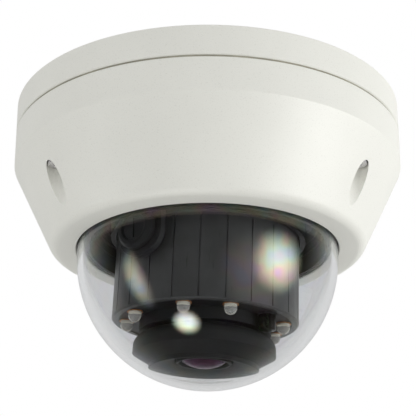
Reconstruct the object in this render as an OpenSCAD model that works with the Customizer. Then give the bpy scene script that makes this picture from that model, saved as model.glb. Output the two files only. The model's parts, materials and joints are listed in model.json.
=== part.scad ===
// Vandal-resistant dome camera that hangs under a ceiling.
// Lengths are in millimetres. Z = 0 is the ceiling face and the camera hangs towards -Z.
// A name ending in _r is a radius, and one ending in _d is a depth below the ceiling face.
// Azimuths are in degrees from -Y (the front), turning towards +X.
// The pan, tilt and roll parts are drawn facing +X along the tilt axis and then turned by aim_yaw.

/* [Outer body] */
// Outside radius of the base and cover
body_r = 80; // [79.5:0.1:80.5]
// Depth of the base's lower rim
base_d = 12.5; // [12.3:0.1:12.7]
// Thickness of the seam gasket
gasket_t = 0.8; // [0.6:0.1:1.0]
// Depth at which the straight wall turns into the cone
shoulder_d = 27.1; // [26.5:0.1:27.5]
// Depth of the flat lower face of the cover
face_d = 61.2; // [61:0.1:61.4]
// Radius lost for each millimetre of depth along the cone
cone_slope = 0.481; // [0.475:0.001:0.485]
// Radius of the rounding between the cone and the lower face
fillet_r = 4.5; // [3.5:0.5:5]
// Wall thickness of the cover
wall = 3; // [2.8:0.1:3.2]
// Radius of the round opening in the lower face
opening_r = 53.5; // [53.4:0.1:53.6]

/* [Bubble] */
// Outside radius of the clear bubble
dome_r = 53.1; // [53:0.1:53.2]
// Thickness of the clear bubble
dome_t = 2.4; // [2.3:0.1:2.5]

/* [Cover screws] */
// Distance of the cover screws from the axis
screw_r = 70.5; // [70.3:0.1:70.7]
// Azimuth of the two front cover screws, to either side
screw_azimuth = 56; // [54:1:58]
// Radius of the counterbore that the screw head sits in
recess_r = 4.1; // [3.9:0.1:4.2]

/* [Mounting] */
// Pitch circle diameter of the ceiling screws
mount_pcd = 128; // [126:1:130]
// Radius of the ceiling screw holes
mount_hole_r = 2.6; // [2.3:0.1:2.8]
// Radius of the cable hole in the grommet
cable_hole_r = 3.2; // [2.5:0.1:3.5]

/* [Camera module] */
// Depth of the tilt axis, which is also the centre of the bubble
tilt_d = 64.4; // [64.3:0.1:64.5]
// Direction of the tilt axis, seen from above, from +X
aim_yaw = 233; // [0:1:359]
// How far the camera module leans from straight down at rest, in degrees
rest_lean = 2.4; // [0:0.1:3]
// Outside radius of the round camera module
drum_r = 37.24; // [37.1:0.02:37.3]
// Depth of the lower rim of the camera module
drum_d = 91.6; // [91.5:0.1:91.7]
// Number of grooves round the camera module
groove_count = 23; // [12:1:30]
// Distance of the infrared LEDs from the axis
led_circle_r = 31.2; // [31:0.1:31.3]
// Radius of one infrared LED
led_r = 2.5; // [2.4:0.1:2.5]
// Radius of the lens hood's lip
hood_r = 28.2; // [27.8:0.1:28.2]

/* [Hidden] */
$fn = 72;
eps = 0.01;
fit_gap = 0.05;
cover_d = base_d + gasket_t;
inner_wall = wall * sqrt(1 + cone_slope * cone_slope);
ledge_d = face_d - 2.2;
flange_low_d = ledge_d - 0.8;
flange_top_d = flange_low_d - 2.5;
retainer_top_d = flange_top_d - 1.8;
dome_in_r = dome_r - dome_t;
flange_r = 57.4;
retainer_screw_r = 60.2;
leg_r = 47.8;
seat_d = 36.2;
screw_azimuths = [-screw_azimuth, screw_azimuth, 180];
cover_shank_r = 2;
cover_head_r = 3.5;
boss_r = 6.6;
retainer_azimuths = [for (i = [0 : 5]) 60 * i];
mount_azimuths = [45, 135, 225, 315];
standoff_r = 50;
floor_d = 3.2;
board_top_d = 7.5;
board_d = 9.1;
plate_top_d = 17.6;
plate_d = 19.4;
turntable_top_d = 19.7;
turntable_d = 21.7;
hub_r = 14;
arm_in = 40.3;
arm_out = 42.7;
ear_in = 37.7;
ear_out = 40;
pivot_r = 2;
arm_half = 10.5;
knob_r = 8.2;
cradle_r = 39.9;
cradle_ball_r = 41.8;
spigot_r = 20;
parting_d = 80.8;
boss_d = 96;
led_azimuths = [-88, -60, -15, 18, 82, 114, 148, -140];
sensor_circle_r = 30.2;
sensor_azimuth = 52;
front_d = 109.7;
thirds = [0, 120, 240];
hub_screw_r = 11.8;
foot_screw = [36, 5.5];
roll_screw_r = 18;
bezel_screw_r = 33;
led_screw_r = 26;
board_post = [19, 12];
processor_y = 32;
slot_y = -50.7;
reset_r = 48;
reset_azimuth = 20;
jack_x = 52.8;
terminal_x = -51.5;

// Outside radius of the cover's cone at depth d.
function cone_r(d) = body_r - cone_slope * (d - shoulder_d);

// Points of an arc, as [radius, height], from angle a to angle b.
function arc(centre, radius, a, b, steps) =
    [for (i = [0 : steps]) centre + radius * [cos(a + (b - a) * i / steps), sin(a + (b - a) * i / steps)]];

// A round solid between two depths.
module disc(radius, top, bottom) {
    translate([0, 0, -bottom])
        cylinder(r = radius, h = bottom - top);
}

// A flat ring between two depths.
module ring(outer, inner, top, bottom) {
    difference() {
        disc(outer, top, bottom);
        disc(inner, top - 1, bottom + 1);
    }
}

// A flat shape made solid between two depths.
module plate(top, bottom) {
    translate([0, 0, -bottom])
        linear_extrude(height = bottom - top)
            children();
}

// A box between two depths, centred on [x, y].
module block(x, y, width, depth, top, bottom) {
    translate([x - width / 2, y - depth / 2, -bottom])
        cube([width, depth, bottom - top]);
}

// Copies of the children at a radius and a list of azimuths.
module around(radius, azimuths) {
    for (a = azimuths)
        rotate([0, 0, a])
            translate([0, -radius, 0])
                children();
}

// Copies of the children at the four points [+-at.x, +-at.y].
module corners(at) {
    for (x = [-at.x, at.x], y = [-at.y, at.y])
        translate([x, y, 0])
            children();
}

// Turns the children from the tilt axis along +X to the direction that the camera is aimed in.
module aimed() {
    rotate([0, 0, aim_yaw])
        children();
}

// Leans the children about the tilt axis by rest_lean, so that the lens moves back and to the left.
module leaned() {
    translate([0, 0, -tilt_d])
        rotate([0, 0, aim_yaw])
            rotate([-rest_lean, 0, 0])
                rotate([0, 0, -aim_yaw])
                    translate([0, 0, tilt_d])
                        children();
}

// A round solid along the tilt axis, from x = a to x = b.
module axle(radius, a, b) {
    translate([a, 0, -tilt_d])
        rotate([0, 90, 0])
            cylinder(r = radius, h = b - a);
}

// A pan-head screw pointing up: head below seat, shank above it.
module screw(head_r, head_h, shank_r, seat, tip) {
    disc(head_r, seat, seat + head_h);
    disc(shank_r, tip, seat + eps);
}

// ---- Fixed part ----

module base_casting() {
    rim_in = body_r - 3.6;
    color("#e4e4dc")
    difference() {
        union() {
            rotate_extrude()
                polygon([
                    [0, 0], [body_r - 0.5, 0], [body_r, -0.5], [body_r, -base_d + 0.4],
                    [body_r - 0.4, -base_d], [rim_in, -base_d], [rim_in, -floor_d], [0, -floor_d]
                ]);
            around(mount_pcd / 2, mount_azimuths)
                disc(6.5, floor_d - 1, floor_d + 2);
            around(screw_r, screw_azimuths)
                intersection() {
                    disc(boss_r, floor_d - 1, base_d);
                    translate([0, screw_r, 0])
                        disc(body_r - 1, 0, base_d + 1);
                }
            around(standoff_r, mount_azimuths)
                disc(3.6, floor_d - 1, board_top_d);
            block(0, processor_y, 20, 20, floor_d - 1, floor_d + 1.4);
        }
        disc(11, -1, floor_d + 1);
        around(mount_pcd / 2, mount_azimuths)
            disc(mount_hole_r, -1, floor_d + 3);
        around(screw_r, screw_azimuths)
            disc(cover_shank_r + fit_gap, 4.5, base_d + 1);
        around(standoff_r, mount_azimuths)
            disc(1.5, 3.6, board_top_d + 1);
    }
}

module base_gasket() {
    color("#6c6858")
        ring(body_r - 0.7, body_r - 3, base_d, cover_d);
}

module cable_grommet() {
    color("#1c1c1c")
    difference() {
        union() {
            disc(11, 0.4, floor_d);
            disc(13.5, floor_d, floor_d + 1.6);
        }
        disc(cable_hole_r, -1, floor_d + 3);
    }
}

module main_board() {
    color("#1f5a36")
    difference() {
        disc(57, board_top_d, board_d);
        disc(15, board_top_d - 1, board_d + 1);
        around(standoff_r, mount_azimuths)
            disc(1.6, board_top_d - 1, board_d + 1);
    }
}

module processor() {
    color("#202022")
        block(0, processor_y, 17, 17, board_top_d - 1.4, board_top_d);
}

module heat_pad() {
    color("#8fa0b4")
        block(0, processor_y, 18, 18, floor_d + 1.4, board_top_d - 1.4);
}

module memory_chips() {
    color("#202022")
        for (y = [-30, -42])
            block(-20, y, 11, 9, board_d, board_d + 1);
}

module capacitors() {
    color("#b8bcc2")
        around(45, [-158, -148, 148, 158])
            disc(2.8, board_d, board_d + 6);
}

module board_headers() {
    color("#ecebe2")
        for (x = [-26, 26])
            difference() {
                block(x, 24, 14, 4.4, board_d, board_d + 2.6);
                block(x, 24, 12, 1.2, board_d + 1, board_d + 4);
            }
}

module ethernet_jack() {
    color("#a9acb0")
    difference() {
        block(jack_x, 0, 16, 16, board_d, board_d + 13.3);
        block(jack_x + 5, 0, 14, 11.8, board_d + 3.2, board_d + 10.6);
        block(jack_x + 5, 0, 14, 6, board_d + 10, board_d + 11.8);
    }
}

module terminal_block() {
    pitch = 5;
    color("#2f7d4a")
    difference() {
        block(terminal_x, 0, 9, 4 * pitch, board_d, board_d + 7.4);
        for (i = [-1.5 : 1.5]) {
            block(terminal_x - 2.5, i * pitch, 8, 3, board_d + 1.2, board_d + 4.2);
            translate([terminal_x, i * pitch, 0])
                disc(1.7, board_d + 5.8, board_d + 9);
        }
    }
}

module power_connector() {
    color("#ecebe2")
        around(50, [-112])
            difference() {
                block(0, 0, 8, 6, board_d, board_d + 6);
                block(0, 0, 6.4, 4.4, board_d + 2, board_d + 8);
            }
}

module sd_slot() {
    color("#b8bcc2")
    difference() {
        block(0, slot_y + 1, 14, 15.6, board_d, board_d + 2.5);
        block(0, slot_y, 11.4, 15.6, board_d + 0.6, board_d + 1.9);
    }
}

module sd_card() {
    color("#2a2a2e")
        block(0, slot_y - 0.3, 11, 15, board_d + 0.8, board_d + 1.7);
}

module reset_switch() {
    color("#c0c2c6")
        around(reset_r, [reset_azimuth])
            difference() {
                block(0, 0, 6, 6, board_d, board_d + 3.6);
                disc(1.65, board_d + 2, board_d + 5);
            }
}

module reset_button() {
    color("#26262a")
        around(reset_r, [reset_azimuth])
            disc(1.6, board_d + 2.6, board_d + 4.8);
}

module standoffs() {
    color("#c9ab62")
        around(standoff_r, mount_azimuths)
            difference() {
                union() {
                    translate([0, 0, -plate_top_d])
                        cylinder(r = 3.2, h = plate_top_d - board_d, $fn = 6);
                    disc(1.45, 4, board_d + 1);
                }
                disc(1.3, 12, plate_top_d + 1);
            }
}

module chassis_plate() {
    leg_hole_r = 1.4;
    color("#2b2c2e")
    difference() {
        disc(53.5, plate_top_d, plate_d);
        disc(hub_r + fit_gap, plate_top_d - 1, plate_d + 1);
        block(54.2, 0, 20, 17.4, plate_top_d - 1, plate_d + 1);
        around(standoff_r, mount_azimuths)
            disc(1.6, plate_top_d - 1, plate_d + 1);
        around(leg_r, thirds)
            disc(leg_hole_r, plate_top_d - 1, plate_d + 1);
        around(30, [30 : 60 : 330])
            disc(4.5, plate_top_d - 1, plate_d + 1);
    }
}

module chassis_screws() {
    color("#b9bcc0")
        around(standoff_r, mount_azimuths)
            screw(2.7, 1.6, 1.25, plate_d, 13);
}

module inner_liner() {
    top_d = 43.5;
    bottom_d = 61;
    color("#17181a") {
        difference() {
            union() {
                rotate_extrude()
                    polygon([
                        [50, -top_d], [50, -bottom_d], [48.3, -bottom_d], [48.3, -54], [47, -54],
                        [47, -50.5], [45.8, -50.5], [45.8, -47], [44.6, -47], [44.6, -top_d]
                    ]);
                around(leg_r, thirds)
                    block(0, 0, 9, 3.6, plate_d, top_d + 1);
                around(leg_r, thirds)
                    block(0, 0, 9, 6, plate_d, plate_d + 2);
            }
            around(leg_r, thirds)
                disc(1.2, plate_d - 1, plate_d + 6);
        }
    }
}

module liner_screws() {
    color("#b9bcc0")
        around(leg_r, thirds) {
            disc(2.2, plate_top_d - 1.4, plate_top_d);
            disc(1.15, plate_top_d - eps, plate_d + 5);
        }
}

// ---- Cover ----

// Outline of the cover filled in to the axis.
module cover_outline() {
    turn = atan(1 / cone_slope);
    corner_r = cone_r(face_d);
    tangent = fillet_r * tan(turn / 2);
    polygon(concat(
        [[0, -cover_d], [body_r - 0.4, -cover_d], [body_r, -cover_d - 0.4], [body_r, -shoulder_d]],
        arc([corner_r - tangent, -face_d + fillet_r], fillet_r, turn - 90, -90, 6),
        [[0, -face_d]]
    ));
}

// Outline of the hollow inside the cover.
module cover_hollow() {
    knee_d = shoulder_d - (inner_wall - wall) / cone_slope;
    polygon([
        [0, -cover_d + 1], [body_r - wall, -cover_d + 1], [body_r - wall, -knee_d],
        [cone_r(ledge_d) - inner_wall, -ledge_d], [0, -ledge_d]
    ]);
}

module cover_shell() {
    boss_end_d = 54;
    color("#e4e4dc")
    difference() {
        union() {
            difference() {
                rotate_extrude()
                    cover_outline();
                rotate_extrude()
                    cover_hollow();
            }
            intersection() {
                rotate_extrude()
                    cover_outline();
                around(screw_r, screw_azimuths)
                    disc(boss_r, cover_d, boss_end_d);
            }
            around(retainer_screw_r, retainer_azimuths)
                disc(2.6, flange_top_d, ledge_d + 0.5);
        }
        rotate_extrude()
            polygon([
                [0, -ledge_d + 1], [opening_r, -ledge_d + 1], [opening_r, -face_d + 0.4],
                [opening_r + 0.5, -face_d - 0.1], [opening_r + 0.5, -face_d - 1], [0, -face_d - 1]
            ]);
        around(screw_r, screw_azimuths) {
            disc(recess_r, seat_d, face_d + 9);
            disc(cover_shank_r + 0.25, cover_d - 1, seat_d + 1);
        }
        around(retainer_screw_r, retainer_azimuths)
            disc(0.9, flange_top_d - 1, ledge_d + 1);
    }
}

module dome_bubble() {
    steps = 24;
    color([0.85, 0.9, 0.92, 0.35])
        rotate_extrude()
            polygon(concat(
                [
                    [dome_in_r, -flange_top_d], [flange_r, -flange_top_d],
                    [flange_r, -flange_low_d], [dome_r, -flange_low_d]
                ],
                arc([0, -tilt_d], dome_r, 0, -90, steps),
                arc([0, -tilt_d], dome_in_r, -90, 0, steps)
            ));
}

module dome_gasket() {
    color("#202122")
        ring(flange_r, opening_r + 0.2, flange_low_d, ledge_d);
}

module dome_retainer() {
    color("#9ea1a4")
        plate(retainer_top_d, flange_top_d)
            difference() {
                union() {
                    circle(r = 58.6);
                    around(retainer_screw_r, retainer_azimuths)
                        circle(r = 2.6);
                }
                circle(r = 51.2);
                around(retainer_screw_r, retainer_azimuths)
                    circle(r = 1.1);
            }
}

module retainer_screws() {
    color("#b9bcc0")
        around(retainer_screw_r, retainer_azimuths) {
            disc(1.9, retainer_top_d - 1.3, retainer_top_d);
            disc(0.87, retainer_top_d - eps, ledge_d + 0.6);
        }
}

module cover_screws() {
    head_top_d = seat_d + 0.8;
    head_d = head_top_d + 2.2;
    color("#c8cacc")
        around(screw_r, screw_azimuths)
            difference() {
                union() {
                    disc(cover_head_r, head_top_d, head_d);
                    disc(cover_shank_r, 5.5, head_top_d + eps);
                }
                translate([0, 0, -head_d - 1])
                    cylinder(r = 1.7, h = 2.3, $fn = 6);
            }
}

module screw_seals() {
    color("#202122")
        around(screw_r, screw_azimuths)
            ring(recess_r - 0.15, cover_shank_r + 0.02, seat_d, seat_d + 0.8);
}

// ---- Pan ----

module turntable() {
    color("#2b2c2e")
        aimed()
            difference() {
                union() {
                    disc(43, turntable_top_d, turntable_d);
                    disc(hub_r, plate_top_d - 0.3, turntable_d);
                }
                disc(9, plate_top_d - 2, turntable_d + 1);
                around(hub_screw_r, thirds)
                    disc(1, plate_top_d - 1, turntable_d - 0.5);
                corners(foot_screw)
                    disc(1.3, turntable_top_d + 0.4, turntable_d + 1);
            }
}

module pan_retainer() {
    top_d = plate_top_d - 2;
    color("#9ea1a4")
        aimed()
            difference() {
                disc(17.5, top_d, plate_top_d - 0.3);
                disc(9, top_d - 1, plate_top_d);
                around(hub_screw_r, thirds)
                    disc(1.1, top_d - 1, plate_top_d);
            }
}

module pan_screws() {
    top_d = plate_top_d - 2;
    foot_d = turntable_d + 2;
    color("#b9bcc0")
        aimed() {
            around(hub_screw_r, thirds) {
                disc(1.8, top_d - 1.2, top_d);
                disc(0.95, top_d - eps, turntable_d - 0.8);
            }
            corners(foot_screw)
                screw(2.1, 1.4, 1.22, foot_d, turntable_top_d + 0.6);
        }
}

// One arm of the yoke, on the +X side.
module yoke_arm() {
    foot_in = 31;
    color("#222325")
    difference() {
        union() {
            block((arm_in + arm_out) / 2, 0, arm_out - arm_in, 2 * arm_half, turntable_d, tilt_d);
            axle(arm_half, arm_in, arm_out);
            block((foot_in + arm_out) / 2, 0, arm_out - foot_in, 2 * arm_half, turntable_d, turntable_d + 2);
        }
        axle(pivot_r + fit_gap, arm_in - 1, arm_out + 1);
        corners(foot_screw)
            disc(1.3, turntable_d - 1, turntable_d + 3);
    }
}

module knob_side_arm() {
    aimed()
        yoke_arm();
}

module pin_side_arm() {
    aimed()
        mirror([1, 0, 0])
            yoke_arm();
}

module pivot_pin() {
    color("#b9bcc0")
        aimed()
            mirror([1, 0, 0]) {
                axle(4.5, arm_out, arm_out + 1.8);
                axle(pivot_r, ear_in + 0.1, arm_out + eps);
            }
}

module tilt_knob() {
    knob_in = arm_out + 0.3;
    knob_h = 3.8;
    color("#1b1c1e")
        aimed()
            translate([knob_in, 0, -tilt_d])
                rotate([0, 90, 0])
                    rotate_extrude()
                        polygon([
                            [0, ear_in + 0.1 - knob_in], [pivot_r, ear_in + 0.1 - knob_in], [pivot_r, 0],
                            [knob_r - 0.5, 0], [knob_r, 0.5], [knob_r, 2.4], [knob_r - 0.5, 3.3],
                            [knob_r - 1.4, knob_h], [knob_r - 2.6, knob_h], [knob_r - 3, knob_h - 0.9],
                            [0, knob_h - 0.9]
                        ]);
}

// ---- Tilt ----

module cradle() {
    ear_half = 8.5;
    top_d = 43.2;
    top_r = sqrt(pow(cradle_ball_r, 2) - pow(tilt_d - top_d, 2));
    side_angle = acos(cradle_r / cradle_ball_r);
    top_angle = acos(top_r / cradle_ball_r);
    color("#222325")
        aimed()
            difference() {
                union() {
                    rotate_extrude()
                        polygon(concat(
                            [[spigot_r + fit_gap, -top_d]],
                            arc([0, -tilt_d], cradle_ball_r, top_angle, side_angle, 5),
                            [
                                [cradle_r, -57], [ear_in, -57], [ear_in, -53.5], [34.5, -47],
                                [34.5, -46], [spigot_r + fit_gap, -46]
                            ]
                        ));
                    for (side = [0, 1])
                        mirror([side, 0, 0]) {
                            block((ear_in + ear_out) / 2, 0, ear_out - ear_in, 2 * ear_half, 54, tilt_d);
                            axle(ear_half, ear_in, ear_out);
                        }
                }
                axle(pivot_r + fit_gap, ear_in - 1, ear_out + 1);
                axle(pivot_r + fit_gap, -ear_out - 1, -ear_in + 1);
            }
}

module thrust_washer() {
    color("#e8e6da")
        ring(28, spigot_r + 0.4, 46, 46.3);
}

// ---- Camera module ----

// Grooves down the side of the drum between two depths.
module drum_grooves(top, bottom) {
    for (i = [0 : groove_count - 1])
        rotate([0, 0, 360 / groove_count * (i - 0.25)])
            block(0, -drum_r, 0.6, 0.9, top, bottom);
}

module rear_shell() {
    top_d = 46.5;
    inner_r = drum_r - 2;
    color("#26272a")
    difference() {
        union() {
            rotate_extrude()
                polygon([
                    [16, -42.9], [spigot_r, -42.9], [spigot_r, -top_d], [33.45, -top_d], [drum_r, -54.2],
                    [drum_r, -parting_d], [inner_r, -parting_d], [inner_r, -55], [31.9, -48.5], [16, -48.5]
                ]);
            around(bezel_screw_r, thirds)
                disc(2.7, 62, parting_d);
            corners(board_post)
                disc(2.4, 48, 55.4);
        }
        drum_grooves(58, parting_d + 1);
        around(bezel_screw_r, thirds)
            disc(1, 72, parting_d + 1);
        corners(board_post)
            disc(1, 50, 56);
        around(roll_screw_r, thirds)
            disc(1, 42, 46);
    }
}

module front_bezel() {
    inner_r = drum_r - 2;
    lip_r = 34.5;
    color("#26272a")
    difference() {
        union() {
            rotate_extrude()
                polygon([
                    [inner_r, -parting_d], [drum_r, -parting_d], [drum_r, -drum_d + 0.6],
                    [drum_r - 0.6, -drum_d], [lip_r, -drum_d], [lip_r, -drum_d + 0.4],
                    [inner_r, -drum_d + 0.4]
                ]);
            around(bezel_screw_r, thirds)
                disc(2.7, parting_d, parting_d + 2.2);
        }
        drum_grooves(parting_d - 1, drum_d - 0.8);
        around(bezel_screw_r, thirds)
            disc(1.15, parting_d - 1, parting_d + 3);
    }
}

module bezel_screws() {
    color("#b9bcc0")
        around(bezel_screw_r, thirds)
            screw(1.9, 1.3, 0.95, parting_d + 2.2, 74);
}

module roll_retainer() {
    color("#9ea1a4")
    difference() {
        disc(24, 41.1, 42.9);
        disc(16, 40, 44);
        around(roll_screw_r, thirds)
            disc(1.1, 40, 44);
    }
}

module roll_screws() {
    color("#b9bcc0")
        around(roll_screw_r, thirds) {
            disc(1.8, 39.8, 41.1);
            disc(0.95, 41.1 - eps, 45.5);
        }
}

module led_plate() {
    plate_low_d = drum_d - 0.4;
    plate_high_d = plate_low_d - 1.6;
    color("#1b1c1e")
    difference() {
        union() {
            disc(35, plate_high_d, plate_low_d);
            disc(26.3, plate_high_d, boss_d);
            around(led_screw_r, thirds)
                disc(1.8, 88, plate_low_d - eps);
        }
        disc(17.5, 80, boss_d + 1);
        around(led_circle_r, led_azimuths)
            disc(led_r + fit_gap, 86, 95);
        around(sensor_circle_r, [sensor_azimuth])
            disc(3.35, 86, 95);
        around(led_screw_r, thirds)
            disc(0.8, 86, 90.5);
    }
}

module led_board() {
    color("#1f5a36")
    difference() {
        disc(34.8, 86.5, 88);
        disc(18.5, 85, 90);
        around(led_screw_r, thirds)
            disc(1, 85, 90);
    }
}

module led_screws() {
    color("#b9bcc0")
        around(led_screw_r, thirds) {
            disc(1.6, 85.3, 86.5);
            disc(0.75, 86.5 - eps, 90.3);
        }
}

module ir_leds() {
    tip_d = drum_d + 4;
    color([0.93, 0.92, 0.88, 0.6])
        around(led_circle_r, led_azimuths)
            rotate_extrude()
                polygon(concat(
                    [[0, -88], [2.8, -88], [2.8, -89], [led_r, -89]],
                    arc([0, -tip_d + led_r], led_r, 0, -90, 8)
                ));
}

module led_rings() {
    color("#b0662e")
        around(led_circle_r, led_azimuths)
            ring(3.1, led_r + fit_gap, drum_d - 0.4, drum_d);
}

module light_sensor() {
    color([0.1, 0.2, 0.12, 0.8])
        around(sensor_circle_r, [sensor_azimuth])
            rotate_extrude()
                polygon([
                    [0, -88], [3.3, -88], [3.3, -91.2], [3.9, -91.2], [3.9, -92.2], [3.3, -92.2],
                    [3.3, -97.6], [2.5, -98.4], [0, -98.4]
                ]);
}

module lens_hood() {
    flare_top_d = boss_d + 0.8;
    lip_top_d = 101.4;
    lip_d = 104.5;
    rim_r = 21.6;
    root_r = 22.4;
    color("#131415")
        rotate_extrude()
            polygon(concat(
                [[15, -90], [17.4, -90], [17.4, -boss_d], [root_r, -boss_d]],
                [for (i = [0 : 6]) [
                    root_r + (hood_r - root_r) * sin(15 * i),
                    -flare_top_d - (lip_top_d - flare_top_d) * (1 - cos(15 * i))
                ]],
                [
                    [hood_r, -lip_d + 0.3], [hood_r - 0.3, -lip_d], [rim_r + 0.5, -front_d + 1.8],
                    [rim_r, -front_d + 1.6], [rim_r, -front_d + 0.3], [rim_r - 0.3, -front_d],
                    [rim_r - 0.9, -front_d], [rim_r - 1.2, -front_d + 0.5], [12.2, -front_d + 2.6],
                    [11.6, -front_d + 3.1], [11.6, -102], [17, -98], [17, -94.5], [15, -93]
                ]
            ));
}

module lens_barrel() {
    color("#101112")
        rotate_extrude()
            polygon([
                [6, -62.2], [8, -62.2], [8, -68.2], [11.5, -68.2], [11.5, -69.7], [10, -69.7], [10, -76.3],
                [11.5, -76.3], [11.5, -81.7], [10, -81.7], [10, -88.3], [11.2, -88.3], [11.2, -90],
                [10.8, -90], [10.8, -103], [11, -103.2], [11, -107.2], [10.6, -107.6], [9.9, -107.6],
                [9.75, -107.2], [9.75, -104], [8.7, -104], [8.7, -99], [6, -95]
            ]);
}

module front_glass() {
    bulge = 3;
    glass_r = 9.7;
    ball_r = (pow(glass_r, 2) + pow(bulge, 2)) / (2 * bulge);
    half = asin(glass_r / ball_r);
    color([0.25, 0.2, 0.3, 0.7])
        rotate_extrude()
            polygon(concat(
                [[0, -104], [glass_r, -104]],
                arc([0, -106 - bulge + ball_r], ball_r, half - 90, -90, 8)
            ));
}

module inner_lenses() {
    color([0.6, 0.7, 0.8, 0.5])
        for (d = [64, 72, 80, 92])
            disc(5.95, d, d + 2.4);
}

// A ribbed ring that turns on the lens barrel, with a small grip pin.
module grip_ring(top, bottom) {
    ribs = 24;
    outer = 13;
    color("#26272a")
        difference() {
            union() {
                disc(outer, top, bottom);
                translate([0, 0, -(top + bottom) / 2])
                    rotate([90, 0, 0])
                        cylinder(r = 1.2, h = 17.5);
            }
            disc(10 + fit_gap, top - 1, bottom + 1);
            for (i = [0 : ribs - 1])
                rotate([0, 0, (i + 0.5) * 360 / ribs])
                    block(0, outer, 0.9, 0.9, top - 1, bottom + 1);
        }
}

module zoom_ring() {
    grip_ring(70, 76);
}

module focus_ring() {
    rotate([0, 0, 60])
        grip_ring(82, 88);
}

module lens_holder() {
    color("#1b1c1e")
    difference() {
        union() {
            block(0, 0, 30, 26, 57, 63);
            disc(10.5, 62, 68);
        }
        block(0, 0, 26.8, 10.4, 56, 61.4);
        disc(5.5, 60, 64);
        disc(8.03, 62, 69);
    }
}

module sensor_board() {
    color("#1f5a36")
    difference() {
        block(0, 0, 44, 32, 55.4, 57);
        corners(board_post)
            disc(1.1, 54, 58);
    }
}

module image_sensor() {
    color("#3a4a52")
        block(0, 0, 10, 8.4, 57, 58.4);
}

module board_screws() {
    color("#b9bcc0")
        corners(board_post)
            screw(1.9, 1.3, 0.95, 57, 50.6);
}

module ir_cut_slider() {
    color("#2a2a2e")
    difference() {
        block(-3.1, 0, 19.6, 9.8, 59.2, 60.6);
        block(0, 0, 5, 5, 59, 61);
        block(-6, 0, 5, 5, 59, 61);
    }
}

module ir_filters() {
    color([0.4, 0.75, 0.8, 0.6])
        for (x = [0, -6])
            block(x, 0, 5, 5, 59.5, 60.3);
}

base_casting();
base_gasket();
cable_grommet();
main_board();
processor();
heat_pad();
memory_chips();
capacitors();
board_headers();
ethernet_jack();
terminal_block();
power_connector();
sd_slot();
sd_card();
reset_switch();
reset_button();
standoffs();
chassis_plate();
chassis_screws();
inner_liner();
liner_screws();
cover_shell();
dome_bubble();
dome_gasket();
dome_retainer();
retainer_screws();
cover_screws();
screw_seals();
turntable();
pan_retainer();
pan_screws();
knob_side_arm();
pin_side_arm();
pivot_pin();
tilt_knob();
leaned() cradle();
leaned() thrust_washer();
leaned() rear_shell();
leaned() front_bezel();
leaned() bezel_screws();
leaned() roll_retainer();
leaned() roll_screws();
leaned() led_plate();
leaned() led_board();
leaned() led_screws();
leaned() ir_leds();
leaned() led_rings();
leaned() light_sensor();
leaned() lens_hood();
leaned() lens_barrel();
leaned() front_glass();
leaned() inner_lenses();
leaned() zoom_ring();
leaned() focus_ring();
leaned() lens_holder();
leaned() sensor_board();
leaned() image_sensor();
leaned() board_screws();
leaned() ir_cut_slider();
leaned() ir_filters();
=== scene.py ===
"""Looks of the ceiling dome camera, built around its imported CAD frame. Lengths are in metres."""

import json
import math

import bmesh
import bpy
from mathutils import Matrix, Vector


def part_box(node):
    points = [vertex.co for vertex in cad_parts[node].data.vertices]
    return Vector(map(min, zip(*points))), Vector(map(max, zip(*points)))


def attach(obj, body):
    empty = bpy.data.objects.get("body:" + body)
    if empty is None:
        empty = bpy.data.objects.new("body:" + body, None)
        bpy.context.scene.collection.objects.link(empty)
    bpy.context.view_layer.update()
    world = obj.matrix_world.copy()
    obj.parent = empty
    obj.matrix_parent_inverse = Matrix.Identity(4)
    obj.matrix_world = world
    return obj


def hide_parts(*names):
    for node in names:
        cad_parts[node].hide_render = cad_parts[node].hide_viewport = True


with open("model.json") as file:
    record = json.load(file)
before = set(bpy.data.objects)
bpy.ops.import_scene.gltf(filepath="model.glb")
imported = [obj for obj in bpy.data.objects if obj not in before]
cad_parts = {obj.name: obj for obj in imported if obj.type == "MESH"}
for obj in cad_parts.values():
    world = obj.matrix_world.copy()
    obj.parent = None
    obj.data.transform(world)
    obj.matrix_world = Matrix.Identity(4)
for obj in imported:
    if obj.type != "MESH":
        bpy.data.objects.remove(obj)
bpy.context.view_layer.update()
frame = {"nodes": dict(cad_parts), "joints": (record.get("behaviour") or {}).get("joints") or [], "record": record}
NODES = frame["nodes"]
JOINTS = {joint["name"]: joint for joint in frame["joints"]}
MM = 0.001

# ---- Driving places, from the frame ----

TILT_Z = JOINTS["tilt_turn"]["pos_m"][2]
TILT_AXIS = Vector(JOINTS["tilt_turn"]["axis"])
ROLL_AXIS = Vector(JOINTS["roll_turn"]["axis"])
UP = Vector((0, 0, 1))
DOME_CENTRE = Vector((0, 0, TILT_Z))
TILT_CENTRE = Matrix.Translation(DOME_CENTRE)
LEAN = UP.rotation_difference(ROLL_AXIS).to_matrix().to_4x4()
LEANED = TILT_CENTRE @ LEAN @ TILT_CENTRE.inverted()
DOME_OUT = TILT_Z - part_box("dome_bubble")[0].z
DOME_WALL = 2.4 * MM
DOME_IN = DOME_OUT - DOME_WALL

# ---- Mesh helpers ----

SHARP = 35  # degrees: edges that turn by more than this stay sharp, unless a piece says otherwise
STRAIGHT = 0.02  # radians: corners that turn by less than this aren't rounded
CORNER_SHARE = 0.49  # the most of each side that one rounded corner may take
SAME_PLACE = 1e-7
QUARTER = [math.pi / 32 * i for i in range(17)]  # angles of a quarter turn


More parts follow.
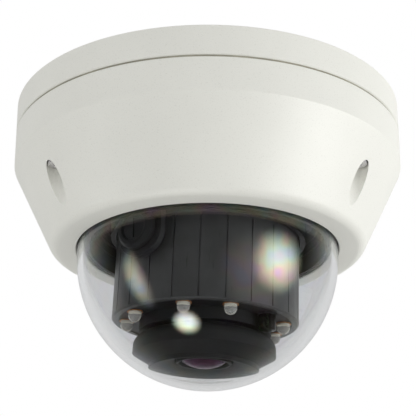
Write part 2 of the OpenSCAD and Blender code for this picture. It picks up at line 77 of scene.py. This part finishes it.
def rounded(points, radius, steps=4):
    """A closed outline with every corner rounded by radius, or by the radius given as a third number."""
    out = []
    for i, point in enumerate(points):
        at = Vector(point[:2])
        before = Vector(points[i - 1][:2])
        after = Vector(points[(i + 1) % len(points)][:2])
        r = point[2] if len(point) > 2 else radius
        a = (before - at).normalized()
        b = (after - at).normalized()
        turn = math.pi - a.angle(b)
        if r <= 0 or turn < STRAIGHT:
            out.append(at)
            continue
        reach = r * math.tan(turn / 2)
        room = CORNER_SHARE * min((before - at).length, (after - at).length)
        if reach > room:
            reach, r = room, room / math.tan(turn / 2)
        middle = at + (a + b).normalized() * math.hypot(reach, r)
        start = at + a * reach - middle
        end = at + b * reach - middle
        side = 1 if start.x * end.y - start.y * end.x > 0 else -1
        for k in range(steps + 1):
            out.append(middle + Matrix.Rotation(side * turn * k / steps, 2) @ start)
    return out


def arc(centre_z, radius, a, b, steps):
    """Points of an arc about the axis, from angle a to angle b in degrees, 0 pointing outwards."""
    angles = [math.radians(a + (b - a) * i / steps) for i in range(steps + 1)]
    return [Vector((radius * math.cos(t), centre_z + radius * math.sin(t))) for t in angles]


def section(inner, outer, first, last):
    """The four corners of a ring's cross-section, between two radii and two depths."""
    return [(inner, first), (outer, first), (outer, last), (inner, last)]


def depths(points):
    """Outline points given in millimetres as (radius, depth below the ceiling), in metres as (radius, z)."""
    return [(r * MM, -d * MM, *(extra * MM for extra in rest)) for r, d, *rest in points]


def around(radius, azimuth):
    """A place at radius mm from the axis; azimuth 0 is the front (-Y), turning towards +X."""
    return Matrix.Rotation(math.radians(azimuth), 4, "Z") @ Matrix.Translation((0, -radius * MM, 0))


def new_object(name, data):
    obj = bpy.data.objects.new(name, data)
    bpy.context.scene.collection.objects.link(obj)
    return obj


def from_bmesh(name, bm, sharp=SHARP):
    """A smooth-shaded object whose edges are sharp where they turn by more than sharp degrees."""
    bmesh.ops.remove_doubles(bm, verts=bm.verts, dist=SAME_PLACE)
    bmesh.ops.recalc_face_normals(bm, faces=bm.faces)
    mesh = bpy.data.meshes.new(name)
    bm.to_mesh(mesh)
    bm.free()
    mesh.polygons.foreach_set("use_smooth", [True] * len(mesh.polygons))
    mesh.set_sharp_from_angle(angle=math.radians(sharp))
    return new_object(name, mesh)


def lathe_into(bm, outline, segments, place):
    """Adds a closed outline of (radius, z) points, turned about Z, to bm. A point on the axis stays one."""
    turns = [math.tau * k / segments for k in range(segments)]
    rings = []
    for radius, z, *_ in outline:
        if abs(radius) < SAME_PLACE:
            spots = [Vector((0, 0, z))]
        else:
            spots = [Vector((radius * math.cos(t), radius * math.sin(t), z)) for t in turns]
        rings.append([bm.verts.new(place @ spot) for spot in spots])
    for i, a in enumerate(rings):
        b = rings[(i + 1) % len(rings)]
        if len(a) == 1 and len(b) == 1:
            continue
        for k in range(segments):
            n = (k + 1) % segments
            loop = [a[k % len(a)], a[n % len(a)], b[n % len(b)], b[k % len(b)]]
            bm.faces.new(list(dict.fromkeys(loop)))


def lathe(name, outline, segments, place=Matrix.Identity(4), sharp=SHARP, copies=(Matrix.Identity(4),)):
    """One object that holds the outline turned about Z, at each of the copies."""
    bm = bmesh.new()
    for copy in copies:
        lathe_into(bm, outline, segments, place @ copy)
    return from_bmesh(name, bm, sharp)


def block(centre, size, place):
    """A mesh of a box, with its centre and size in millimetres."""
    bm = bmesh.new()
    made = bmesh.ops.create_cube(bm, size=1)
    centre = Matrix.Translation([c * MM for c in centre])
    matrix = place @ centre @ Matrix.Diagonal((*(s * MM for s in size), 1))
    bmesh.ops.transform(bm, matrix=matrix, verts=made["verts"])
    return bm


def carve(obj, bm):
    """Cuts the closed shape in bm out of obj."""
    tool = from_bmesh("tool", bm)
    cut = obj.modifiers.new("cut", "BOOLEAN")
    cut.solver = "EXACT"
    cut.object = tool
    depsgraph = bpy.context.evaluated_depsgraph_get()
    mesh = bpy.data.meshes.new_from_object(obj.evaluated_get(depsgraph))
    obj.modifiers.clear()
    obj.data = mesh
    mesh.set_sharp_from_angle(angle=math.radians(SHARP))
    bpy.data.objects.remove(tool)


# ---- Node helpers ----

NOISE_REACH = (0.3, 0.7)  # most of a noise texture's values lie between these


def add(tree, kind, **properties):
    """A new node of that kind, with its properties set."""
    node = tree.nodes.new(kind)
    for key, value in properties.items():
        setattr(node, key, value)
    return node


def feed(tree, socket, value):
    """Links value to the socket if it comes from another node, or else sets it there."""
    if isinstance(value, bpy.types.NodeSocket):
        tree.links.new(value, socket)
    else:
        socket.default_value = value


def maths(tree, operation, first, second=None, clamp=False):
    """The result of a Math node on one or two numbers or sockets."""
    node = add(tree, "ShaderNodeMath", operation=operation, use_clamp=clamp)
    feed(tree, node.inputs[0], first)
    if second is not None:
        feed(tree, node.inputs[1], second)
    return node.outputs[0]


def blend(tree, factor, first, second, how="MIX"):
    """A colour mixed from first and second. A Mix node's colours are its inputs 6 and 7 and its output 2."""
    node = add(tree, "ShaderNodeMix", data_type="RGBA", blend_type=how)
    feed(tree, node.inputs[0], factor)
    feed(tree, node.inputs[6], first)
    feed(tree, node.inputs[7], second)
    return node.outputs[2]


def remap(tree, source, from_range, to_range, curve="LINEAR"):
    """Turns one range of numbers into another, and holds the ends beyond it."""
    node = add(tree, "ShaderNodeMapRange", interpolation_type=curve)
    for key, value in zip(("From Min", "From Max", "To Min", "To Max"), (*from_range, *to_range)):
        node.inputs[key].default_value = value
    tree.links.new(source, node.inputs["Value"])
    return node.outputs["Result"]


def noise(tree, size, detail=3.0, rough=0.5, stretch=None):
    """A noise texture in object space whose features are about size metres across."""
    source = add(tree, "ShaderNodeTexCoord").outputs["Object"]
    tex = add(tree, "ShaderNodeTexNoise")
    tex.inputs["Scale"].default_value = 1 / size
    tex.inputs["Detail"].default_value = detail
    tex.inputs["Roughness"].default_value = rough
    if stretch:
        mapping = add(tree, "ShaderNodeMapping")
        mapping.inputs["Scale"].default_value = stretch
        tree.links.new(source, mapping.inputs["Vector"])
        source = mapping.outputs["Vector"]
    tree.links.new(source, tex.inputs["Vector"])
    return tex.outputs["Fac"]


def ramp(tree, source, low, high, start=0.35, end=0.65):
    """Turns a 0 to 1 value into a colour between low and high."""
    node = add(tree, "ShaderNodeValToRGB")
    for stop, position, color in zip(node.color_ramp.elements, (start, end), (low, high)):
        stop.position = position
        stop.color = (*color, 1)
    tree.links.new(source, node.inputs["Fac"])
    return node.outputs["Color"]


def spread(tree, source, low, high):
    """Turns a noise texture's value into a number between low and high."""
    return remap(tree, source, NOISE_REACH, (low, high))


def bump(tree, shader, source, height, strength=1.0):
    node = add(tree, "ShaderNodeBump")
    node.inputs["Distance"].default_value = height
    node.inputs["Strength"].default_value = strength
    tree.links.new(source, node.inputs["Height"])
    tree.links.new(node.outputs["Normal"], shader.inputs["Normal"])


def fade_out(tree, shader, amount, tint=(1, 1, 1)):
    """Makes the material clear where amount is 1, and leaves it as shader has it where amount is 0."""
    through = add(tree, "ShaderNodeBsdfTransparent")
    through.inputs["Color"].default_value = (*tint, 1)
    mix = add(tree, "ShaderNodeMixShader")
    for source, socket in zip((amount, shader.outputs[0], through.outputs[0]), mix.inputs):
        tree.links.new(source, socket)
    tree.links.new(mix.outputs[0], tree.nodes["Material Output"].inputs["Surface"])


# ---- Materials ----


def principled(name, color, rough, metallic=0.0):
    mat = bpy.data.materials.new(name)
    mat.use_nodes = True
    tree = mat.node_tree
    shader = tree.nodes["Principled BSDF"]
    shader.inputs["Base Color"].default_value = (*color, 1)
    shader.inputs["Roughness"].default_value = rough
    shader.inputs["Metallic"].default_value = metallic
    return mat, tree, shader


def drift(tree, shader, color, tint=0.12, mottle=12 * MM):
    """Lets the colour wander a little darker and lighter over mottle metres."""
    low = tuple(c * (1 - tint) for c in color)
    high = tuple(min(1.0, c * (1 + tint)) for c in color)
    tree.links.new(ramp(tree, noise(tree, mottle, 2.0), low, high), shader.inputs["Base Color"])


def grain(tree, shader, rough, size=0.5 * MM, height=0.02 * MM, reach=0.08):
    """Lets the roughness and the bumps follow a fine grain."""
    fine = noise(tree, size, 2.0, 0.6)
    tree.links.new(spread(tree, fine, rough - reach, rough + reach), shader.inputs["Roughness"])
    bump(tree, shader, fine, height)


def finish_of(name, color, rough, metallic=0.0, tint=0.12, mottle=12 * MM, **grain_settings):
    """A material with a wandering colour and a fine grain."""
    mat, tree, shader = principled(name, color, rough, metallic)
    drift(tree, shader, color, tint, mottle)
    grain(tree, shader, rough, **grain_settings)
    return mat, tree, shader


def plain(*args, **kwargs):
    return finish_of(*args, **kwargs)[0]


def powder_coat():
    """Cream powder coat: fine orange-peel bumps, a few darker specks and slightly uneven gloss."""
    color = (0.80, 0.80, 0.745)
    mat, tree, shader = principled("powder_coat", color, 0.5)
    speck = noise(tree, 0.45 * MM, 2.0, 0.6)
    darker = tuple(c * 0.985 for c in color)
    lighter = tuple(c * 1.01 for c in color)
    base = ramp(tree, noise(tree, 30 * MM, 2.0), darker, lighter)
    dots = ramp(tree, speck, (0.86, 0.86, 0.85), (1, 1, 1), 0.24, 0.42)
    tree.links.new(blend(tree, 1.0, base, dots, "MULTIPLY"), shader.inputs["Base Color"])
    tree.links.new(spread(tree, speck, 0.42, 0.58), shader.inputs["Roughness"])
    bump(tree, shader, noise(tree, 0.7 * MM, 3.0, 0.55), 0.035 * MM, 0.6)
    return mat


def let_light_through(tree, shader, tint):
    """Lamps and the soft light between surfaces pass this glass, weakened only by tint."""
    path = add(tree, "ShaderNodeLightPath")
    either = maths(tree, "MAXIMUM", path.outputs["Is Shadow Ray"], path.outputs["Is Diffuse Ray"])
    fade_out(tree, shader, either, tint)


def clear_dome():
    """Clear polycarbonate with a hard coat whose thickness drifts, which gives its pink and green sheen."""
    mat, tree, shader = principled("clear_dome", (0.97, 0.98, 0.98), 0.0)
    shader.inputs["Transmission Weight"].default_value = 1.0
    shader.inputs["IOR"].default_value = 1.58
    shader.inputs["Thin Film IOR"].default_value = 1.50
    thin, thick = 320, 470  # nanometres
    film = spread(tree, noise(tree, 8 * MM, 1.0), thin, thick)
    tree.links.new(film, shader.inputs["Thin Film Thickness"])
    let_light_through(tree, shader, (0.9, 0.9, 0.9))
    return mat


def glass(name, color, ior, film=None, clear=1.0):
    """Tinted glass or epoxy. A film is its index of refraction and its thickness in nanometres."""
    rough = 0.02
    mat, tree, shader = finish_of(name, color, rough, tint=0.1, mottle=3 * MM,
                                  size=0.6 * MM, height=0.002 * MM, reach=0.01)
    shader.inputs["IOR"].default_value = ior
    if film:
        shader.inputs["Thin Film IOR"].default_value = film[0]
        shader.inputs["Thin Film Thickness"].default_value = film[1]
    shader.inputs["Transmission Weight"].default_value = clear
    let_light_through(tree, shader, tuple(math.sqrt(c) for c in color))
    return mat


def streaked(name, color, rough):
    """Moulded plastic with faint streaks down its sides."""
    mat, tree, shader = principled(name, color, rough)
    drift(tree, shader, color)
    streak = noise(tree, 0.5 * MM, 3.0, 0.7, (1, 1, 0.03))
    tree.links.new(spread(tree, streak, rough - 0.1, rough + 0.1), shader.inputs["Roughness"])
    bump(tree, shader, streak, 0.02 * MM, 0.7)
    return mat


def matte(name, color, rough, specular, **kwargs):
    """A finish that reflects less than bare plastic does."""
    mat, _, shader = finish_of(name, color, rough, **kwargs)
    shader.inputs["Specular IOR Level"].default_value = specular
    return mat


def circuit_board():
    """Green solder mask over darker and lighter copper tracks, with tinned pads."""
    rough = 0.35
    mat, tree, shader = principled("circuit_board", (0.02, 0.13, 0.06), rough)
    grain(tree, shader, rough)
    place = add(tree, "ShaderNodeTexCoord").outputs["Object"]
    tracks = add(tree, "ShaderNodeTexBrick")
    track_pitch, pad_pitch, pad_size = 9 * MM, 2.6 * MM, 0.2
    tracks.inputs["Scale"].default_value = 1 / track_pitch
    tracks.inputs["Mortar Size"].default_value = 0.035
    tracks.inputs["Color1"].default_value = (0.018, 0.12, 0.055, 1)
    tracks.inputs["Color2"].default_value = (0.022, 0.14, 0.062, 1)
    tracks.inputs["Mortar"].default_value = (0.05, 0.24, 0.10, 1)
    tree.links.new(place, tracks.inputs["Vector"])
    pads = add(tree, "ShaderNodeTexVoronoi")
    pads.inputs["Scale"].default_value = 1 / pad_pitch
    tree.links.new(place, pads.inputs["Vector"])
    on_pad = maths(tree, "LESS_THAN", pads.outputs["Distance"], pad_size)
    tinned = blend(tree, on_pad, tracks.outputs["Color"], (0.62, 0.60, 0.50, 1))
    tree.links.new(tinned, shader.inputs["Base Color"])
    tree.links.new(on_pad, shader.inputs["Metallic"])
    return mat


MATERIALS = {
    "cover_paint": powder_coat(),
    "seam_rubber": plain("seam_rubber", (0.34, 0.325, 0.26), 0.7),
    "black_rubber": plain("black_rubber", (0.012, 0.012, 0.013), 0.55, size=0.3 * MM),
    "circuit_board": circuit_board(),
    "chip": plain("chip", (0.012, 0.012, 0.014), 0.45),
    "thermal_pad": plain("thermal_pad", (0.24, 0.33, 0.45), 0.75),
    "ivory_plastic": plain("ivory_plastic", (0.74, 0.72, 0.62), 0.4),
    "terminal_green": plain("terminal_green", (0.03, 0.25, 0.10), 0.4),
    "tin_plate": plain("tin_plate", (0.60, 0.61, 0.63), 0.28, 1.0, mottle=4 * MM),
    "can_aluminium": plain("can_aluminium", (0.68, 0.69, 0.71), 0.3, 1.0),
    "brass": plain("brass", (0.72, 0.53, 0.24), 0.3, 1.0),
    "dark_steel": plain("dark_steel", (0.025, 0.026, 0.028), 0.45),
    "black_plastic": matte("black_plastic", (0.014, 0.014, 0.016), 0.45, 0.35, size=0.35 * MM),
    "drum_plastic": streaked("drum_plastic", (0.058, 0.059, 0.060), 0.36),
    "screw_steel": plain("screw_steel", (0.76, 0.75, 0.76), 0.3, 0.55, mottle=1.5 * MM),
    "retainer_metal": plain("retainer_metal", (0.50, 0.51, 0.53), 0.4, 1.0),
    "clear_dome": clear_dome(),
    "led_epoxy": glass("led_epoxy", (1.0, 0.99, 0.96), 1.5, clear=0.8),
    "copper_ring": plain("copper_ring", (0.48, 0.22, 0.09), 0.35, 0.6, tint=0.35, mottle=1 * MM),
    "sensor_tint": glass("sensor_tint", (0.10, 0.16, 0.08), 1.5),
    "lens_metal": matte("lens_metal", (0.010, 0.010, 0.011), 0.45, 0.25),
    # Painted shade: the lens glass is tinted almost black so the lens looks dark, as its shaded inside would make
    # it; the thin film gives the coating's purple sheen.
    "lens_glass": glass("lens_glass", (0.07, 0.025, 0.05), 1.6, film=(1.38, 140)),
    "filter_glass": glass("filter_glass", (0.45, 0.80, 0.85), 1.5),
    "card_plastic": plain("card_plastic", (0.02, 0.02, 0.024), 0.4),
}

SLOT_OF = {part["node"]: part["material_slot"] for part in frame["record"]["subparts"]}

for node_name, node_object in NODES.items():
    node_object.data.materials.clear()
    node_object.data.materials.append(MATERIALS[SLOT_OF[node_name]])


# ---- Pieces. Outlines passed to depths() are in millimetres ----

LED_AZIMUTHS = (-88, -60, -15, 18, 82, 114, 148, -140)
LED_RING_R = 31.2
LEDS = [around(LED_RING_R, azimuth) for azimuth in LED_AZIMUTHS]
SENSOR_RING_R = 30.2
SENSOR_AZIMUTH = 52
SENSOR = around(SENSOR_RING_R, SENSOR_AZIMUTH)
LED_START = 88  # depth where the LEDs and the light sensor start
RIM_START = 91.2  # depth where the LED rims and the sensor's collar start


def settle(piece, body, node, slot=None):
    """Puts a new piece on its body, hides the CAD node that it stands for, and gives it its slot's material."""
    slot = slot or SLOT_OF[node]
    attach(piece, body)
    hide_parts(node)
    piece.data.materials.clear()
    piece.data.materials.append(MATERIALS[slot])
    return piece


def dome_bubble():
    """The clear bubble: a flange, a short straight wall and a half ball."""
    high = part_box("dome_bubble")[1]
    flange_low = high.z - 2.5 * MM
    wall_low = TILT_Z + 1 * MM
    corners = [(DOME_IN, high.z), (high.x, high.z), (high.x, flange_low), (DOME_OUT, flange_low)]
    ends = [(DOME_OUT, wall_low), (DOME_IN, wall_low)]
    corner_steps, arc_steps = 3, 64
    flange = rounded(corners + ends, 0.4 * MM, corner_steps)[:len(corners) * (corner_steps + 1)]
    outline = flange + arc(TILT_Z, DOME_OUT, 0, -90, arc_steps) + arc(TILT_Z, DOME_IN, -90, 0, arc_steps)
    settle(lathe("clear_bubble", outline, 256, sharp=50), "cover", "dome_bubble")


def leds():
    """Clear domes over a bright reflector cup with a dark chip in it."""
    lens_r, tip_start = 2.48, 93.1
    flange_r, flange_low = 2.75, 89
    dome = [(0, LED_START), (flange_r, LED_START), (flange_r, flange_low), (lens_r, flange_low)]
    dome += [(lens_r * math.cos(t), tip_start + lens_r * math.sin(t)) for t in QUARTER]
    settle(lathe("led_domes", depths(dome), 40, LEANED, 50, LEDS), "module", "ir_leds")
    cup_r, cup_back, cup_floor, cup_rim = 1.95, 89.8, 90.6, 92.1
    bowl = [(0, cup_floor), (0.7, cup_floor), (1.75, cup_rim)]
    cup = bowl + [(cup_r, cup_rim), (cup_r, cup_back), (0, cup_back)]
    settle(lathe("led_cups", depths(cup), 32, LEANED, 30, LEDS), "module", "ir_leds", "ivory_plastic")
    chip = section(0, 0.42, 90.9, 90.65)
    settle(lathe("led_chips", depths(chip), 4, LEANED, 30, LEDS), "module", "ir_leds", "chip")
    rim = rounded(depths(section(2.56, 3.1, RIM_START, 91.65)), 0.12 * MM, 3)
    settle(lathe("led_rims", rim, 40, LEANED, SHARP, LEDS), "module", "led_rings")


def sensor():
    """The tinted light sensor: a collar, a clear stem and the chip that can be seen inside it."""
    stem_r, edge, tip = 3.3, 97.8, 98.4
    stem = depths([(0, LED_START, 0), (stem_r, LED_START), (stem_r, edge, 0.7), (0, tip, 0)])
    stem = rounded(stem, 0.15 * MM, 4)
    settle(lathe("sensor_stem", stem, 48, LEANED, 40, [SENSOR]), "module", "light_sensor")
    collar = rounded(depths(section(3.32, 3.9, RIM_START, 92.2)), 0.15 * MM, 3)
    collar = lathe("sensor_collar", collar, 48, LEANED, 40, [SENSOR])
    settle(collar, "module", "light_sensor", "black_plastic")
    chip = block((0, 0, -93.5), (0.6, 0.4, 6), LEANED @ SENSOR)
    settle(from_bmesh("sensor_chip", chip), "module", "light_sensor", "tin_plate")


def hood():
    """The flared black hood round the lens, with a raised rim and a dished front."""
    foot, foot_bore, sleeve_r, bore_r = 90, 15, 17.4, 17
    neck_r, shoulder = 22.4, 96
    flare_start, flare_out, flare_down = 96.8, 5.8, 4.6
    flare_r = neck_r + flare_out
    rim_r, rim_front, throat_r = 21.6, 109.7, 11.6
    flare = [(neck_r + flare_out * math.sin(t), flare_start + flare_down * (1 - math.cos(t)), 0)
             for t in QUARTER]
    outline = rounded(depths([
        (foot_bore, foot), (sleeve_r, foot), (sleeve_r, shoulder, 0), (neck_r, shoulder, 0.2),
        *flare, (flare_r, 104.5, 0.35), (22.1, 107.9, 0.4),
        (rim_r, 108.1, 0.2), (rim_r, rim_front, 0.25), (20.8, rim_front, 0.25), (20.4, 109.2, 0.3),
        (12.2, 107.1, 0.3), (throat_r, 106.6, 0.3), (throat_r, 102),
        (bore_r, 98), (bore_r, 94.5), (foot_bore, 93),
    ]), 0.15 * MM, 4)
    settle(lathe("lens_hood_skin", outline, 192, LEANED, 40), "module", "lens_hood")


def front_lens():
    """The bulging front element."""
    bulge, radius, edge = 3.0, 9.65, 106.2
    ball = (radius ** 2 + bulge ** 2) / (2 * bulge)
    half = math.asin(radius / ball)
    steps = 20
    turns = [half * (1 - i / steps) for i in range(steps + 1)]
    front = [(ball * math.sin(t), edge + bulge - ball + ball * math.cos(t)) for t in turns]
    hollow_r, hollow_top, hollow_sag, back, rings = 8.6, 106.1, 1.9, 104.1, 8
    hollow = [(hollow_r * i / rings, hollow_top - hollow_sag * (i / rings) ** 2) for i in range(rings)]
    outline = depths(hollow + [(hollow_r, back), (radius, back)] + front)
    settle(lathe("front_element", outline, 96, LEANED, 50), "module", "front_glass")


def inner_lenses():
    """Curved elements behind the front one, with an iris between them."""
    radius = 5.9
    rows = [i / 10 for i in range(11)]
    elements = bmesh.new()
    sizes = ((98.2, 1.6, 1.4), (92, 1.4, 1.0), (80, 1.6, 0.8), (72, 1.6, 0.8), (64, 1.6, 0.6))
    for depth, thick, sag in sizes:
        face = [(radius * t, depth + thick + sag * (1 - t * t)) for t in reversed(rows)]
        back = [(radius * t, depth + 0.5 * sag * (1 - t * t)) for t in rows]
        lathe_into(elements, depths(back + face), 64, LEANED)
    settle(from_bmesh("lens_elements", elements, 50), "module", "inner_lenses")
    hole_r = 3.0
    iris = depths([(hole_r, 96.2), (radius, 96.0), (radius, 96.6), (hole_r, 96.5)])
    settle(lathe("lens_iris", iris, 64, LEANED), "module", "inner_lenses", "black_plastic")


def knob():
    """The tilt knob, with a raised rim and a screwdriver slot. Its outline runs out along the tilt axis."""
    along = TILT_CENTRE @ Matrix((UP, TILT_AXIS.cross(UP), TILT_AXIS)).transposed().to_4x4()
    shank_r, knob_r, shank_start, back, crest = 2, 8.2, 37.8, 43, 46.8
    points = (
        (0, shank_start, 0), (shank_r, shank_start), (shank_r, back), (7.7, back, 0.2), (knob_r, 43.5, 0.2),
        (knob_r, 45.6, 0.6), (7, crest, 0.6), (5.6, crest, 0.4), (5.2, 45.7, 0.3), (0, 45.9, 0),
    )
    outline = rounded([tuple(value * MM for value in point) for point in points], 0.1 * MM, 5)
    turned = lathe("tilt_knob_skin", outline, 96, along, 40)
    slot_size = (8, 1.3, 1.6)
    carve(turned, block((0, 0, 46), slot_size, along))
    settle(turned, "knob", "tilt_knob")


dome_bubble()
leds()
sensor()
hood()
front_lens()
inner_lenses()
knob()

# ---- Stage, lights and camera ----

FILL_LIGHT = (0.85, 0.85, 0.85, 1)
THROUGH_GLASS = (0.665, 0.665, 0.68, 1)
SEEN_WHITE = (1, 1, 1, 1)
FAR_SIDE = (-0.1, 0.75)  # where the mirrored world brightens, along Y of the unit sphere of directions
UPPER_SIDE = (-1.0, 0.0)  # and along its Z
MIRRORED = (0.03, 0.72)  # from the dark side to the bright one
FLOOR_SIZE = 40
FLOOR_Z = -1.2
FLOOR_FADE = (1.0, 9.0)
LAMP_AWAY = 1.1
LAMP_SIZE = 0.7
PANEL_AWAY = 1.0
PANEL_EDGE = 0.5  # from the middle of a plane of size 1
DEEP_RAY = 3.5  # rays that have met more surfaces than this see the panels dimly
DEEP_GLOW = 0.12
CAMERA_PLACE = (0.0002, -0.5363, -0.2592)
CAMERA_TILT = 22.1  # degrees above level, looking up at the hanging camera


def backdrop_world():
    """White to the camera, even where it lights; to mirrors, bright behind the object and dark before it."""
    world = bpy.data.worlds.new("studio")
    bpy.context.scene.world = world
    world.use_nodes = True
    tree = world.node_tree
    path = add(tree, "ShaderNodeLightPath").outputs
    split = add(tree, "ShaderNodeSeparateXYZ")
    tree.links.new(add(tree, "ShaderNodeTexCoord").outputs["Generated"], split.inputs[0])
    far_side = remap(tree, split.outputs["Y"], FAR_SIDE, (0, 1), "SMOOTHSTEP")
    upper_side = remap(tree, split.outputs["Z"], UPPER_SIDE, (0, 1), "SMOOTHSTEP")
    behind = remap(tree, maths(tree, "MULTIPLY", far_side, upper_side), (0, 1), MIRRORED)
    mirrored = maths(tree, "MINIMUM", path["Glossy Depth"], 1.0)
    sharp = maths(tree, "SUBTRACT", mirrored, path["Is Diffuse Ray"], clamp=True)
    color = blend(tree, path["Is Transmission Ray"], FILL_LIGHT, THROUGH_GLASS)
    color = blend(tree, sharp, color, behind)
    color = blend(tree, path["Is Camera Ray"], color, SEEN_WHITE)
    tree.links.new(color, tree.nodes["Background"].inputs["Color"])


def aim(obj, azimuth, elevation, away):
    """Puts obj away metres from the bubble's middle, facing it; azimuth 0 is the front, and +X is 90."""
    a, e = math.radians(azimuth), math.radians(elevation)
    out = Vector((math.sin(a) * math.cos(e), -math.cos(a) * math.cos(e), math.sin(e)))
    obj.location = DOME_CENTRE + out * away
    obj.rotation_euler = (-out).to_track_quat("-Z", "Y").to_euler()


def key_light(name, azimuth, elevation, power):
    """A soft lamp that lights the surfaces and leaves the mirror highlights to the panels."""
    lamp = bpy.data.lights.new(name, "AREA")
    lamp.shape = "DISK"
    lamp.size = LAMP_SIZE
    lamp.energy = power
    obj = new_object(name, lamp)
    aim(obj, azimuth, elevation, LAMP_AWAY)
    obj.visible_glossy = False
    obj.visible_transmission = False


def glow_panel(name, azimuth, elevation, width, height, strength, core=0.0, corner=2.0):
    """A soft panel, bright out to core from its middle, and squarer with a larger corner.

    Only mirrored and transmitted rays see it, and deep ones dimly.
    """
    bpy.ops.mesh.primitive_plane_add(size=1)
    panel = bpy.context.object
    panel.name = name
    panel.scale = (width, height, 1)
    aim(panel, azimuth, elevation, PANEL_AWAY)
    mat = bpy.data.materials.new(name)
    mat.use_nodes = True
    tree = mat.node_tree
    tree.nodes.remove(tree.nodes["Principled BSDF"])
    split = add(tree, "ShaderNodeSeparateXYZ")
    tree.links.new(add(tree, "ShaderNodeTexCoord").outputs["Object"], split.inputs[0])
    across, along = (maths(tree, "POWER", maths(tree, "ABSOLUTE", split.outputs[s]), corner) for s in "XY")
    length = maths(tree, "POWER", maths(tree, "ADD", across, along), 1 / corner)
    fall = remap(tree, length, (core, PANEL_EDGE), (strength, 0.0), "SMOOTHSTEP")
    depth = add(tree, "ShaderNodeLightPath").outputs["Ray Depth"]
    dim = remap(tree, maths(tree, "GREATER_THAN", depth, DEEP_RAY), (0, 1), (1.0, DEEP_GLOW))
    glow = add(tree, "ShaderNodeEmission")
    tree.links.new(maths(tree, "MULTIPLY", fall, dim), glow.inputs["Strength"])
    both = add(tree, "ShaderNodeAddShader")
    tree.links.new(glow.outputs[0], both.inputs[0])
    tree.links.new(add(tree, "ShaderNodeBsdfTransparent").outputs[0], both.inputs[1])
    tree.links.new(both.outputs[0], tree.nodes["Material Output"].inputs["Surface"])
    panel.data.materials.append(mat)
    panel.visible_camera = False
    panel.visible_diffuse = False
    panel.visible_shadow = False


def floor():
    """The pale studio floor, well below the hanging camera, fading out far away. Mirrors don't show it."""
    bpy.ops.mesh.primitive_plane_add(size=FLOOR_SIZE, location=(0, 0, FLOOR_Z))
    plane = bpy.context.object
    plane.name = "studio_floor"
    mat, tree, shader = finish_of("studio_floor", (0.86, 0.86, 0.85), 0.7, tint=0.01, mottle=300 * MM)
    away = add(tree, "ShaderNodeVectorMath", operation="LENGTH")
    tree.links.new(add(tree, "ShaderNodeTexCoord").outputs["Object"], away.inputs[0])
    far = remap(tree, away.outputs["Value"], FLOOR_FADE, (0, 1), "SMOOTHSTEP")
    mirrored = add(tree, "ShaderNodeLightPath").outputs["Glossy Depth"]
    fade_out(tree, shader, maths(tree, "ADD", mirrored, far, clamp=True))
    plane.data.materials.append(mat)


def camera():
    data = bpy.data.cameras.new("camera")
    data.lens = 121
    data.sensor_width = 36
    data.clip_start = 0.01
    data.dof.use_dof = False
    obj = new_object("camera", data)
    obj.location = CAMERA_PLACE
    obj.rotation_euler = (math.radians(90 + CAMERA_TILT), 0, 0)
    bpy.context.scene.camera = obj


backdrop_world()
floor()
camera()
key_light("key_right", azimuth=72, elevation=-10, power=2.9)
key_light("key_far", azimuth=112, elevation=-4, power=1.9)
glow_panel("panel_right", azimuth=64, elevation=-10, width=1.05, height=0.95, strength=8.5, corner=2.2)
glow_panel("panel_haze", azimuth=50, elevation=-22, width=1.8, height=1.4, strength=0.75)
glow_panel("panel_left", azimuth=-71, elevation=-22, width=0.46, height=0.94, strength=4.0)
glow_panel("panel_below", azimuth=-48, elevation=-69, width=0.44, height=0.44, strength=12.0, core=0.08)
bpy.context.scene.view_settings.view_transform = "Standard"
